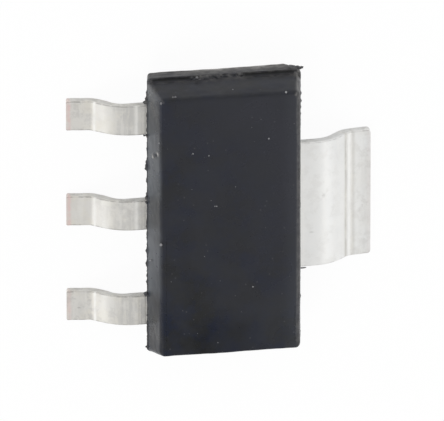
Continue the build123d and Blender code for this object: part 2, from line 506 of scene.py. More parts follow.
def filled_face(ring, sides):
    """Flat face inside a ring: each point blends the ring's four sides, less the blend of its corners."""
    long_count, short_count = sides
    right = ring[: long_count + 1]
    top = ring[long_count : long_count + short_count + 1][::-1]
    left = ring[long_count + short_count : 2 * long_count + short_count + 1][::-1]
    bottom = np.concatenate([ring[2 * long_count + short_count :], ring[:1]])
    u = np.linspace(0, 1, short_count + 1)[None, :, None]
    v = np.linspace(0, 1, long_count + 1)[:, None, None]
    edges = (1 - u) * left[:, None] + u * right[:, None] + (1 - v) * bottom[None] + v * top[None]
    near, far = v * top[None, -1:], v * top[None, :1]
    corners = (1 - u) * ((1 - v) * left[0] + far) + u * ((1 - v) * right[0] + near)
    return edges - corners


def gate_facing(turn):
    """1 where the skin faces the gate's end, falling off sharply round the corners."""
    return np.clip(np.sin(turn), 0, 1) ** 20


def gate_ledge(lower_edge, upper_edge, turn):
    """Rings across the ledge at the gate's end: its outer edge, a groove, a bank and the upper wall's foot.

    The groove fades out at the gate scar and at both ends. Elsewhere round the body these rings fall on the
    parting line.
    """
    facing = gate_facing(turn)[:, None]
    x = upper_edge[:, 0] / MM
    depth = 0.018 * (1 - step(x, -0.80, -0.70)) * step(x, -1.68, -1.58)
    depth = depth + 0.016 * step(x, 0.35, 0.60) * step(-x, -1.70, -1.60)
    rise = np.array([0, 0, WITNESS])
    groove = 0.62 * lower_edge + 0.38 * upper_edge + rise / 2
    groove[:, 2] -= depth * MM * facing[:, 0]
    bank = 0.34 * lower_edge + 0.66 * upper_edge + rise / 2
    return np.stack([lower_edge + rise, groove, bank, upper_edge])


def pit_place(p):
    """Distance from the middle of the pit on the leads' side, drawn out up the wall, and the way to it.

    The way runs from -1 on the pit's lower left, seen from outside, to 1 on its upper right.
    """
    y, z = p[..., 1] - PIT_Y, p[..., 2] - PIT_Z
    up, along = 0.42 * z, 0.96 * y - 0.35 * z
    far = np.hypot(up, along)
    return far + 9 * (p[..., 0] > -1), (0.9 * up + 0.4 * along) / (far + 1e-6)


def moulded(points):
    """What moulding leaves: a slightly wavy skin, a pit on the leads' side and ejector marks below.

    Low down next to the tab the gate's end bulges out, and the far end has a slight belly.
    """
    p = points / MM
    wave = np.stack([rugged(p, 0.60, seed) for seed in (11, 21, 31)], axis=-1) * 0.008
    fine = np.stack([cloudy(p, 0.12, seed) for seed in (41, 51, 61)], axis=-1) * 0.0030
    pit, _ = pit_place(p)
    press = 0.016 * bell(pit - PIT_RING, 0.020) - 0.030 * bell(pit, 0.036)
    outward = np.array([-cos(DRAFT), 0, sin(DRAFT)])
    p = p + wave + fine + press[..., None] * outward
    bulge = 0.020 * step(p[..., 0], 0.5, 1.4) + 0.024 * step(p[..., 0], 1.35, 1.60)
    p[..., 1] += bulge * step(p[..., 1], 3.0, 3.2) * (1 - step(p[..., 2], 0.60, 0.80))
    p[..., 1] -= 0.015 * bell(p[..., 0] + 0.40, 0.80) * step(-p[..., 1], 2.9, 3.1)
    across = np.hypot(p[..., 0], np.abs(p[..., 1]) - EJECTOR_REACH / MM)
    below = points[..., 2] < BODY_LOW.z + LOW_RIM / 2
    sunk = EJECTOR_DEPTH / MM * (1 - step(across, EJECTOR_RADIUS / MM - 0.03, EJECTOR_RADIUS / MM + 0.01))
    p[..., 2] += np.where(below, sunk, 0)
    return p * MM


def top_painted_shading(p):
    """Painted shading of the top face over random clouds: paler towards the gate's end and the tab, darker at
    the leads' far corner, standing in for how much light the face mirrors there.
    """
    x, y = p[..., 0], p[..., 1]
    tone = 0.46 + 0.16 * x + 0.095 * y + 0.12 * bell(y - 0.6, 1.4) + 0.18 * rugged(p, 1.3, 401)
    return tone - 0.25 * step(-x, 0.2, 1.2) * step(-y, 0.9, 1.8)


def leads_bloom(p, rise):
    """Painted sheen on the leads' side, standing in for the white floor's reflection: strong low down, weak
    towards the rim, beside the leads and at the far end.

    The weak zones beside the leads are painted shade where the leads' reflections fall, and they grow wider up
    the wall. Their edges waver above the parting line, and below it the zones fade out evenly.
    """
    y, z = p[..., 1], p[..., 2]
    wobble = 0.045 * cloudy(p, 0.22, 421) * step(z, 0.86, 1.10)
    beside = 0
    for k in (-1, 0, 1):
        off = y + wobble - k * LEAD_PITCH / MM
        beside = beside + 1 - step(np.abs(off) - 0.16 * rise * (off > 0), 0.36, 0.50 + 0.12 * rise)
    bloom = 0.76 - 0.44 * rise - 0.27 * beside * step(z, 0.30, 0.80) - 0.12 * step(-y, 1.7, 2.0)
    bloom = bloom - (0.40 + 0.45 * rise) * step(-y, 2.45, 2.95)
    bloom = bloom + 0.10 * bell(y - 1.0, 0.32) + 0.16 * bell(y - 1.98, 0.13) + 0.16 * bell(y + 0.25, 0.15)
    return np.clip(bloom, 0, 1)


def gate_dust(p, facing, low, upward):
    """Painted light on the gate's end: a patchy painted sheen on the lower half, strongest low down, and a
    thin lift of the shade over the ledge and the scar at the upper wall's foot.
    """
    x, z = p[..., 0], p[..., 2]
    patchy = 0.5 + 0.5 * np.clip(rugged(p, 0.22, 411), -1, 1)
    heights = [0.15, 0.32, 0.48, 0.62, 0.78]
    falling = np.interp(z, heights, [1.8, 1.5, 1.3, 1.0, 0.7])
    falling = falling + np.interp(z, heights, [1.5, 0.7, 0.1, -0.1, -0.15]) * step(x, -1.0, -0.5)
    lower = (0.40 + 0.12 * step(x, -1.3, -0.5)) * (0.6 + 0.7 * patchy) * falling
    scar = step(x, SCAR_START / MM, SCAR_START / MM + 0.1) * step(-x, -SCAR_END / MM - 0.05, -SCAR_END / MM)
    upper = 0.04 * (1 - step(z, 0.95, 1.35)) + (0.19 + 0.16 * scar) * (1 - step(z, 0.86, 1.05))
    upper = upper + 0.13 * bell(z - 0.895, 0.055) + 0.08 * (patchy - 0.5)
    return facing * (lower * low + upper * ~(low | upward))


def leads_dust(p, rise):
    """Paler skin on the leads' side at its end near the gate, and a painted highlight on the pit's rim,
    strongest at the rim's two ends.
    """
    y, z = p[..., 1], p[..., 2]
    tip = step(y, 2.45, 2.90) * (0.42 - 0.28 * rise) * (1 - step(z, 1.25, 1.45) * step(y, 2.72, 2.86))
    far, way = pit_place(p)
    return tip + (0.10 + 2.1 * np.abs(way) ** 3) * bell(far - PIT_RING, 0.018)


def corner_dust(y, z, turn):
    """Painted light down the corners of the gate's end, above the parting line next to the tab: a painted
    highlight line down the corner, and paler skin beside it that lifts the shade, most low down. Next to the
    leads a paler band, palest low down.

    around runs from 0 where the wall faces the tab, over 1 at the gate's end, to 2 where it faces the leads.
    """
    around = turn / (pi / 2)
    tab = 0.22 * step(1 - around, 0.10, 0.45) + 0.50 * bell(around - 0.60, 0.09)
    tab = tab + 0.42 * (1 - step(z, 0.90, 1.04)) * step(1 - around, 0.0, 0.15)
    tab = tab * (around > 0) * (around < 1) * step(z, 0.820, 0.832)
    leads = (0.30 + 0.25 * (1 - step(z, 0.84, 0.92))) * bell(around - 1.5, 0.33)
    return (tab + leads * (around > 1) * (around < 2)) * (y > 0)


def skin_finish(points, turn):
    """Finish of the skin at each point: tone, painted sheen, dusting with painted light, coarse and dull, as
    the material reads them.

    turn is the direction that the wall faces, and rise grows from 0 at the parting line to 1 where the wall
    turns over into its rim. The lower half and the gate's end are coarse, and a painted highlight lies along
    the tab's upper rim. The skin mirrors less near the rim of the gate's wall and at the far ends of the top
    and of the leads' wall.
    """
    p = points / MM
    x, y, z = p[..., 0], p[..., 1], p[..., 2]
    low = z < PARTING_Z / MM + 0.5 * WITNESS / MM
    upward = z > BODY_HIGH.z / MM - 0.012
    rise = np.clip((z - PARTING_Z / MM) / 0.75, 0, 1)
    leads_side = np.clip(-np.cos(turn), 0, 1) ** 4 * (1 - step(z, 1.56, 1.655))
    # Painted highlight along the tab's upper rim
    tab_rim_highlight = np.clip(np.cos(turn), 0, 1) ** 4 * step(z, 1.40, 1.56) * (1 - step(z, 1.65, 1.66))
    facing = gate_facing(turn)
    tone = np.where(upward, top_painted_shading(p), 0.35 - 0.04 * facing)
    bloom = leads_side * leads_bloom(p, rise)
    # Painted sheen on the top face too: a pale band along the tab's rim and towards the corner between the tab
    # and the far end
    bloom = bloom + upward * (0.09 * step(x, 1.10, 1.62) + 0.04 * step(x - y, 2.0, 4.0))
    # Thinner in the pit's middle: painted shade there
    bloom = bloom * (1 - 0.6 * bell(pit_place(p)[0], 0.040))
    # Painted light: a painted sheen on the gate's end, painted highlights round the pit's rim and along the
    # tab's upper rim, and painted light down the corners; with a grey dusting of the compound
    dust = gate_dust(p, facing, low, upward) + leads_side * leads_dust(p, rise) + 0.34 * tab_rim_highlight
    dust = dust + corner_dust(y, z, turn) * ~upward
    coarse = np.where(low, 1.0, 0.55 * facing * ~upward)
    dull = facing * (0.15 + 0.30 * step(z, 1.10, 1.50)) * (1 - step(z, 1.55, 1.62)) * ~(low | upward)
    far_top = step(-y, 1.9, 2.75) * (0.45 + 0.55 * step(x, -1.4, -0.4)) * (1 - step(x, 0.2, 1.35))
    dull = dull + 0.50 * upward * far_top + (0.20 + 0.36 * rise) * leads_side * ~low * step(-y, 2.70, 2.95)
    return tuple(np.clip(part + 0 * x, 0, 2) for part in (tone, bloom, dust, coarse, dull))


def mould_body(material):
    """Both drafted halves, the ledge between them, the top face and the underside, as one closed shell."""
    corner_steps = 6
    along_short = np.linspace(0, 1, 73)
    along_long = spread(190, 0.760, 0.022, 3.0)  # closer together at the pit
    places = ring_places(along_short, along_long, corner_steps)
    turn = places[2]
    sides = [len(along) - 1 + 2 * corner_steps for along in (along_long, along_short)]
    end_rim = np.where(turn > 0, GATE_RIM, FAR_RIM) * (turn < pi) + FAR_RIM * (turn >= pi)
    rim = end_rim + (SIDE_RIM - end_rim) * np.cos(turn) ** 2
    high, deep, half_witness = BODY_HIGH.z - PARTING_Z, PARTING_Z - BODY_LOW.z, WITNESS / 2
    upper_inset, up = half_profile(high, rim, spread(27, 0.58, 0.12, 2.0), 9)
    lower_inset, down = half_profile(deep, LOW_RIM + 0 * turn, np.linspace(0, 1, 14), 6)
    upper_z = PARTING_Z + half_witness + up * (1 - half_witness / high)
    lower_z = PARTING_Z - half_witness - down * (1 - half_witness / deep)
    upper = wall_rings(places, upper_inset, upper_z, -MOULD_SHIFT / 2)
    lower = wall_rings(places, lower_inset[::-1], lower_z[::-1], MOULD_SHIFT / 2)
    ledge = gate_ledge(lower[-1], upper[0], turn)
    rings = np.concatenate([lower, ledge, upper])
    flats = [filled_face(ring, sides) for ring in (rings[-1], rings[0])]
    finishes = [skin_finish(rings, turn)] + [skin_finish(flat, 0 * flat[..., 0] - pi / 2) for flat in flats]
    values = dict(zip(("tone", "bloom", "dust", "coarse", "dull"), zip(*finishes)))
    ledge_rows = slice(len(lower), len(lower) + len(ledge))
    sunk = gate_facing(turn) * step(PARTING_Z - ledge[1, :, 2], 0, 0.008 * MM)
    crevice = np.zeros(rings.shape[:2])
    crevice[ledge_rows] = sunk * np.array([0.1, 1.0, 0.90, 0.25])[:, None]
    values["crevice"] = [crevice] + [np.zeros(flat.shape[:2]) for flat in flats]
    # Painted light on the ledge's outer edge and the upper wall's foot, grading the groove's dark crevice
    # colour
    dusty = sunk * np.array([0.35, 0.0, 0.0, 0.08])[:, None]
    dust = values["dust"][0]
    dust[ledge_rows] = np.maximum(dust[ledge_rows] * (1 - sunk), dusty)
    grids = [(moulded(rings), True)] + [(moulded(flat), False) for flat in flats]
    return surface("mould_body_skin", grids, material, "mould_body", values)


def parting_flash(material):
    """Thin fin squeezed out along the parting line: a flat tongue carried round the body's outline.

    Its reach is the positive part of two sizes of noise. Larger tongues stand at their own places, and at some
    places it is broken back. It is dustier at the gate's end and on the leads' side. It is palest round the
    corner between the gate's end and the tab, where its root also lies deeper, and along the tab's side next
    to that
    corner: painted light that lifts the shade there.
    """
    share_x, share_y, turn = ring_places(np.linspace(0, 1, 240), np.linspace(0, 1, 620), 8)
    half_y = HALF_LENGTH + MOULD_SHIFT / 2
    x = share_x * (BODY_HIGH.x - CORNER) + CORNER * np.cos(turn)
    y = share_y * (half_y - CORNER) + CORNER * np.sin(turn)
    p = placed(x, y, 0) / MM
    side = np.sign(p[:, 0])
    on_side = np.abs(np.cos(turn)) ** 4
    jag = np.clip(rugged(p, 0.13, 71) - 0.15, 0, 1) + 0.8 * np.clip(cloudy(p, 0.045, 81), 0, 1)
    reach = 0.008 - 0.006 * share_x * on_side + (0.013 - 0.007 * side) * jag * on_side
    for tongues_side, tongues in ((-1, LEADS_TONGUES), (1, TAB_TONGUES)):
        for at_y, size, width in tongues:
            reach = reach + size * bell(p[:, 1] - at_y, width) * (side == tongues_side) * on_side
    reach = np.maximum(reach, 0.002)
    # The fin's section, from its root over its edge and back: shares of its reach, and heights in mm
    out = np.array([-0.05, 0.35, 0.75, 1.0, 0.75, 0.35, -0.05])
    rise = np.array([0.011, 0.011, 0.008, 0.0, -0.008, -0.011, -0.011])
    inner = -0.03 - 0.05 * bell(turn - pi / 4, 0.6)
    away = np.where(out < 0, inner[:, None], out * reach[:, None])
    droop = 0.010 * cloudy(p, 0.3, 91)[:, None] * np.clip(out, 0, 1)
    outward = placed(np.cos(turn), np.sin(turn), 0)[:, None]
    points = p[:, None] + away[..., None] * outward
    points[..., 2] = PARTING_Z / MM + rise + droop
    points = np.concatenate([points, points[:1]]) * MM
    way = np.append(turn, turn[0])[:, None] + 0 * points[..., 0]
    dust = 0.20 + 0.18 * gate_facing(way) + 0.22 * np.clip(-np.cos(way), 0, 1) ** 4
    # Painted light: paler round the corner between the gate's end and the tab, and along the tab's side next
    # to it, lifting the shade there
    dust = dust + 0.50 * step(way, 0.02, 0.30) * step(-way, -1.50, -1.20)
    dust = dust + 0.50 * bell(points[..., 1] / MM - 3.15, 0.10) * (points[..., 0] > 0)
    return surface("parting_flash", [(points, True)], material, values={"dust": [dust]})


def gate_scar(material):
    """Rough stub where the runner was broken off: a wedge from the upper wall down to the ledge's edge.

    Its height is the wedge's, made uneven by noise, and fades at both ends. Its outer part is dusty.
    """
    x = np.linspace(SCAR_START - 0.03 * MM, SCAR_END + 0.03 * MM, 150)
    ends = step(x, x[0], x[8]) * step(x, x[-1], x[-9])
    wall_y = HALF_LENGTH - MOULD_SHIFT / 2
    across = np.linspace(-0.03 * MM, MOULD_SHIFT - 0.006 * MM, 16)
    grid_x, grid_y = np.meshgrid(x, wall_y + across, indexing="ij")
    share = np.clip(across / MOULD_SHIFT, 0, 1)
    p = placed(grid_x, grid_y, 0) / MM
    rough = 0.020 * rugged(p, 0.07, 101) + 0.012 * cloudy(p, 0.030, 111)
    height = (0.035 - 0.022 * share + 0.8 * rough) * MM * ends[:, None]
    top = placed(grid_x, grid_y, PARTING_Z + np.maximum(height, 0.002 * MM))
    base = placed(grid_x, grid_y, PARTING_Z - 0.02 * MM)
    section = np.concatenate([top, base[:, ::-1]], axis=1)
    middle = section.mean(axis=1, keepdims=True)
    closed = np.concatenate([middle[:1] + 0 * section[:1], section, middle[-1:] + 0 * section[-1:]])
    outward = step((closed[..., 1] - wall_y) / MOULD_SHIFT, 0.35, 0.75)
    mottled = np.clip(0.24 + 0.28 * outward + 0.34 * rugged(closed / MM, 0.11, 121), 0.12, 1)
    return surface("gate_scar", [(closed, True)], material, values={"dust": [mottled]})


def crumb(centre, radii, seed, rows=12, columns=18):
    """Lump: an ellipsoid whose distance from its centre is uneven by noise. Its poles close to one point."""
    rise = np.linspace(-pi / 2, pi / 2, rows)[:, None]
    around = (np.arange(columns) / columns * 2 * pi)[None]
    way = placed(np.cos(rise) * np.cos(around), np.cos(rise) * np.sin(around), np.sin(rise))
    way[0], way[-1] = (0, 0, -1), (0, 0, 1)
    far = 1 + 0.30 * rugged(way + 5, 0.9, seed)
    return (np.array(centre) + way * np.array(radii) * far[..., None]) * MM


def resin_crumbs(material):
    """Lumps and whiskers of resin at the corners of the leads and the tab, and at the body's far corner."""
    z = PARTING_Z / MM
    lumps = (
        ((-1.845, 1.935, z), (0.022, 0.022, 0.020)),
        ((-1.785, 1.935, z), (0.034, 0.030, 0.026)),
        ((-1.815, 1.935, z), (0.040, 0.010, 0.012)),
        ((-1.790, 0.430, z + 0.01), (0.036, 0.050, 0.030)),
        ((-1.790, 0.320, z + 0.01), (0.030, 0.040, 0.026)),
        ((-1.800, -1.905, z + 0.01), (0.058, 0.055, 0.045)),
        ((-1.782, -3.190, z), (0.040, 0.030, 0.020)),
        ((-1.790, 2.720, z - 0.01), (0.075, 0.055, 0.030)),
        ((-1.778, 2.790, z - 0.01), (0.045, 0.080, 0.028)),
        ((-1.768, 2.870, z - 0.01), (0.020, 0.070, 0.020)),
        ((1.815, -1.530, z - 0.005), (0.100, 0.016, 0.014)),
        ((1.620, 3.290, z - 0.16), (0.110, 0.045, 0.120)),
        ((1.700, 3.305, z - 0.08), (0.075, 0.045, 0.065)),
        ((1.760, 3.315, z - 0.02), (0.050, 0.034, 0.030)),
        ((1.800, 3.345, z + 0.005), (0.036, 0.022, 0.016)),
        ((1.816, 3.326, z + 0.005), (0.011, 0.022, 0.012)),
    )
    grids = [(crumb(centre, radii, 200 + 3 * k), True) for k, (centre, radii) in enumerate(lumps)]
    dust = [np.clip(0.50 + 0.30 * rugged(grid / MM, 0.08, 171), 0, 1) for grid, _ in grids]
    return surface("resin_crumbs", grids, material, values={"dust": dust})


def filler_grains(material):
    """Pale grains of filler in the skin: half-sunk lumps, a few large ones and scattered fine ones."""
    top = BODY_HIGH.z / MM
    grains = [
        ((-0.875, 1.727, top), 0.022), ((-0.506, 1.654, top), 0.020), ((0.879, 1.971, top), 0.022),
        ((-0.365, 0.422, top), 0.016), ((-0.325, 0.420, top), 0.016), ((0.516, -1.590, top), 0.022),
        ((-1.611, -0.428, 1.645), 0.034), ((-1.312, 3.073, 1.56), 0.030), ((-1.258, 3.076, 1.56), 0.028),
        ((1.281, 3.054, 1.63), 0.026), ((0.379, -3.114, 1.63), 0.030), ((-0.640, 3.275, 0.91), 0.030),
        ((-1.596, 2.975, 1.63), 0.030), ((0.100, 3.100, 1.38), 0.018), ((-1.640, 2.005, 1.597), 0.020),
        ((-1.750, -1.000, 1.09), 0.022), ((-1.670, 1.083, 1.373), 0.014),
    ]
    rng = np.random.default_rng(301)
    fine_x = rng.uniform(-1.5, 1.5, 26)
    fine_y = rng.uniform(-3.0, 2.95, 26)
    fine_size = rng.uniform(0.004, 0.009, 26)
    grains += [((x, y, top), size) for x, y, size in zip(fine_x, fine_y, fine_size)]
    grids = [
        (crumb(centre, (size, size, 0.5 * size), 320 + k, 7, 10), True)
        for k, (centre, size) in enumerate(grains)
    ]
    return surface("filler_grains", grids, material)


# ---------------------------------------------------------------- formed strip


def formed_path(start_x):
    """Centre line of the gull wing, from start_x out to the tip: x, z and slope at even steps along it.

    The slope grows at an even rate round the shoulder, stays the same down the slope, falls fast round the
    heel to the foot's tilt, and back to level round the toe. x and z are the running sums of its cosine and
    sine.
    """
    rounds = (SHOULDER_BEND, 0, SLOPE), (HEEL_BEND, FOOT_TILT, SLOPE), (TOE_BEND, 0, FOOT_TILT)
    drops = [radius * (cos(low) - cos(high)) for radius, low, high in rounds]
    runs = [radius * (sin(high) - sin(low)) for radius, low, high in rounds]
    arcs = [radius * (high - low) for radius, low, high in rounds]
    slope_length = (PARTING_Z - STRIP - sum(drops) - FOOT_RUN * sin(FOOT_TILT)) / sin(SLOPE)
    run = sum(runs) + slope_length * cos(SLOPE) + FOOT_RUN * cos(FOOT_TILT) + TOE
    lengths = [HALF_SPAN - run - start_x, arcs[0], slope_length, arcs[1], FOOT_RUN, arcs[2], TOE]
    ends = np.cumsum([0] + lengths)
    along = np.linspace(0, ends[-1], 4001)
    slope = np.interp(along, ends, [0, 0, SLOPE, SLOPE, FOOT_TILT, FOOT_TILT, 0, 0])
    pace = along[1] - along[0]
    middle = (slope[1:] + slope[:-1]) / 2
    x = start_x + np.concatenate([[0], np.cumsum(np.cos(middle))]) * pace
    z = PARTING_Z - STRIP / 2 - np.concatenate([[0], np.cumsum(np.sin(middle))]) * pace
    return along, x, z, slope


def strip_wing(start_x, half_width, tip_corner, count):
    """Rows along a gull wing: x, height, slope, half width, share of the thickness, distance from the tip.

    Near the tip the half width follows the corner's arc and the thickness a small worn arc. The last rows
    thin the end face to a line, which closes it.
    """
    along, x, z, slope = formed_path(start_x)
    length = along[-1]
    edge = 0.012 * MM
    body = np.linspace(0, length - tip_corner, count, endpoint=False)
    near_tip = length - tip_corner + tip_corner * np.sin(np.linspace(0, pi / 2, 9))
    worn_end = length - edge * (1 - np.sin(np.linspace(0.3, pi / 2, 4)))
    at = np.sort(np.concatenate([body, near_tip[:-1], worn_end]))
    gone = length - at
    narrowed = np.clip(tip_corner - gone, 0, None)
    half = half_width(np.interp(at, along, x)) - (tip_corner - np.sqrt(tip_corner**2 - narrowed**2))
    worn = np.clip(edge - gone, 0, None)
    thick = 1 - (edge - np.sqrt(edge**2 - worn**2)) / (STRIP / 2)
    at = np.concatenate([at, np.full(5, length)])
    half = np.concatenate([half, np.full(5, half[-1])])
    thick = np.concatenate([thick, thick[-1] * np.linspace(0.8, 0, 5)])
    return np.stack([*(np.interp(at, along, track) for track in (x, z, slope)), half, thick, length - at])


def closed_start(rows):
    """Closes a strip's first row by thinning it to nothing."""
    first = np.repeat(rows[:, :1], 4, axis=1)
    first[4] = np.linspace(0, 1, 4, endpoint=False)
    return np.concatenate([first, rows], axis=1)


def half_section(top_steps):
    """Half of the strip's section, from the middle of its top round to the middle of its underside.

    Each column is a share of the half width, a distance in from the edge, a height, and its painted shade
    along the edges. Wide and narrow rows so keep the same rounded edges: a rolled-over one above and a sharper
    one below.
    """
    top_round, low_round, half = 0.026 * MM, 0.018 * MM, STRIP / 2
    turn = np.linspace(0, pi / 2, 5)
    top_flat, low_flat = np.linspace(0, 1, top_steps), np.linspace(1, 0, 12)[1:]
    side = np.linspace(0, 1, 5)[1:-1]
    side_top, side_low = half - top_round, low_round - half
    # The last entry of rolled and sharp, and of each part below, is its painted edge shade
    rolled = top_round * (1 - np.sin(turn)), side_top + top_round * np.cos(turn), [0.5, 1, 1, 0.5, 0]
    sharp = low_round * (1 - np.cos(turn)), side_low - low_round * np.sin(turn), 0.7 * np.sin(turn)
    parts = [
        (top_flat, top_round + 0.010 * MM, half, 0),
        (1, *rolled),
        (1, 0, side_top + side * (side_low - side_top), 0.25),
        (1, *sharp),
        (low_flat, low_round, -half, 0),
    ]
    return np.concatenate([np.stack(np.broadcast_arrays(*part)) for part in parts], axis=1)


def strip_surface(rows, top_marks, lean, section):
    """Carries the strip's rounded section along the rows, with tool marks on its upper side.

    The underside is pressed in round the shoulder. The trim leaves the tip leaning in by the lean in mm:
    under its upper edge, or above its lower one where the lean is negative.
    """
    x, z, slope, half, thick, to_tip = rows
    share, inward, up, _ = section
    across = share * (half[:, None] - inward)
    across = np.concatenate([across, -across[:, -2:0:-1]], axis=1)
    up = np.concatenate([up, up[-2:0:-1]])
    at = np.broadcast_to(x[:, None], across.shape)
    wear = 0.003 * MM * cloudy(placed(at, across, 0) / MM, 0.16, 131)
    across = across + np.sign(across) * np.where(np.abs(across) > half[:, None] - 0.02 * MM, wear, 0)
    upper = step(up, 0.3 * STRIP / 2, STRIP / 2)
    high = (up + top_marks(at, across) * upper) * thick[:, None]
    pressed = ANVIL * bell(at / MM - 2.42, 0.22) * np.clip(LEAD_HALF_WIDTH / half, 0, 1)[:, None]
    high = high + pressed * (0.5 - high / STRIP)
    drawn = abs(lean) * MM * (0.5 - np.sign(lean) * high / STRIP) * bell(to_tip / MM, 0.06)[:, None]
    out, rise = high * np.sin(slope)[:, None], high * np.cos(slope)[:, None]
    return placed(at - drawn + out, across, z[:, None] + rise)


def lead_marks(heel):
    """Marks on a lead's upper side: the punch's edge at the heel, the clamp's lines, fine waves."""

    def marks(x, across):
        u, v = x / MM, across / MM
        edge = -0.008 * step(u + 0.012 * v, heel - 0.035, heel + 0.025)
        clamp = 0.004 * bell(u - 2.000, 0.040) - 0.004 * bell(u - CLAMP_BACK, 0.010)
        waves = 0.0026 * rugged(placed(u, v, 0), 0.33, 141)
        return (edge + clamp + waves) * MM

    return marks


def tab_marks(x, across):
    """Marks on the tab's upper side: two pressed lines and a ridge between them, a dent, a scratch, waves."""
    u, v = x / MM, across / MM
    lines = -0.006 * bell(u - TAB_HEEL_LINE, 0.024) - 0.006 * bell(u - 3.064, 0.034)
    ridge = 0.002 * bell(u - 2.935, 0.050)
    dent = -0.014 * spot(u, v, TAB_DENT, 0.026)
    scratch = -0.008 * bell(u - TAB_SCRATCH[0], 0.040) * bell(v - TAB_SCRATCH[1], 0.010)
    waves = 0.0030 * rugged(placed(u, v, 0), 0.55, 151)
    return (lines + ridge + dent + scratch + waves) * MM


def lead_finish(reach, across, upper, lead):
    """Film, painted highlights, pressed lines and mottling along a lead, on its upper side.

    Resin film runs from the clamp's line out to its reach, more thinly from the body to that line, and over
    a soiled foot, which also has a dark nick. The clamp's line, the heel and parts of the slope and the foot
    get painted highlights, and the clamp's back line and two other lines are painted dark with shade. Where
    the clamp's line is faint, a dark line and two thin pale ones, painted shade and highlights, show beside
    it.
    Mottling has a strength of its own on the slope and on the foot.
    """
    faint = 1 - lead.clamp
    stops = [2.02 - 0.05 * faint, 2.10, lead.resin_reach, max(lead.resin_reach + 0.02, 2.50)]
    film = lead.resin * np.interp(reach, stops, [0.0, 1.0, 0.85, 0.0])
    film = film + lead.inner_resin * np.interp(reach, [1.78, 1.85, 1.90, 1.95], [0.4, 0.8, 1.0, 0.0])
    film = film + lead.soiled * step(reach, 2.95, 3.15)
    # Painted highlights: the heel's crease, parts of the slope and the foot, and the clamp's line
    painted_bright_slope = 0.18 * step(reach, 2.36, 2.56) * step(-reach, -2.80, -2.62)
    painted_bright = 0.85 * bell(reach - lead.heel, 0.024) + painted_bright_slope
    painted_bright = painted_bright + 0.55 * lead.clamp * bell(reach - 2.010, 0.058) + 0.12 * step(reach, 3.12, 2.90)
    painted_bright = painted_bright + faint**4 * (0.12 * bell(reach - 2.085, 0.013) + 0.34 * bell(reach - 1.943, 0.011))
    # Painted shade: dark lines at the clamp's back groove and beside the clamp's line
    pressed = 0.45 * bell(reach - CLAMP_BACK, 0.010) + lead.line * bell(reach - 1.912, 0.011)
    pressed = pressed + 0.14 * bell(reach - 2.455, 0.009) + 0.70 * faint * bell(reach - 1.958, 0.011)
    strengths = [0.76 + 0.5 * lead.slope_mottle, lead.slope_mottle, lead.slope_mottle, lead.foot_mottle]
    mottle = np.interp(reach, [2.40, 2.55, 2.80, 2.90], strengths)
    nick = 2.5 * lead.soiled * bell(reach[:, None] - 3.242, 0.036) * bell(across / MM + 0.047, 0.014)
    parts = film[:, None], painted_bright[:, None], pressed[:, None] + nick, mottle[:, None]
    return [part * upper for part in parts]


def tab_finish(reach, across, upper):
    """Film, painted highlights, pressed spots and mottling on the tab's upper side.

    The film paints shade into the two pressed lines at the heel and darkens a band of the foot with painted
    shade.
    The body's side, the ridge between the lines and parts of the foot get painted highlights. The dent and the
    scratch are painted dark with shade, and two small spots are dark.
    """
    u, v = reach[:, None] + 0 * across, across / MM
    # Painted highlights: the body's side, the shoulder, the ridge, parts of the foot and a glint near its edge
    painted_bright = 0.45 * step(u, 1.90, 1.84) + 0.30 * step(u, 3.30, 3.12) * step(u, 2.95, 3.10)
    painted_bright = painted_bright + 0.20 * step(-u, -2.40, -2.25) + 0.20 * bell(u - 2.325, 0.060)
    painted_bright = painted_bright + 0.42 * bell(u - 2.938, 0.055)
    painted_bright = np.maximum(painted_bright, spot(u, v, (3.005, 1.47), 0.028))
    # Painted shade: film darkens the two pressed lines and a band of the foot
    film = 0.70 * bell(u - TAB_HEEL_LINE, 0.030) + 0.64 * bell(u - TAB_FOOT_LINE, 0.053)
    film = film + 0.05 * bell(u - 2.46, 0.06) + 0.22 * step(u, 3.15, 3.40) * (1 - step(u, 3.38, 3.46))
    film = film + 0.30 * step(u, 2.9, 3.1) * step(-v, 1.25, 1.48)
    # Painted shade in the dent and the scratch; two small dark spots
    spots = 3.0 * spot(u, v, TAB_DENT, 0.028) + 0.5 * spot(u, v, (3.212, -0.44), 0.035)
    spots = spots + 0.4 * spot(u, v, (3.30, -0.30), 0.02)
    spots = spots + bell(u - TAB_SCRATCH[0], 0.045) * bell(v - TAB_SCRATCH[1], 0.014)
    mottle = np.interp(u, [2.50, 2.62, 2.85, 3.10], [0.26, 0.12, 0.12, 0.40])
    return [part * upper for part in (film, painted_bright, spots, mottle)]


def tab_warmth_and_shade(grid, reach):
    """How yellow the tab's tin is: in soft patches on the foot, and evenly along the two pressed lines, where
    the darker yellow tin is painted shade.
    """
    patches = np.clip(0.5 + 0.9 * rugged(grid / MM, 0.6, 161), 0, 1)
    lines = bell(reach - TAB_HEEL_LINE, 0.030) + bell(reach - TAB_FOOT_LINE, 0.050)
    return 0.4 * step(reach, 3.0, 3.3)[:, None] * patches + 0.72 * lines[:, None]


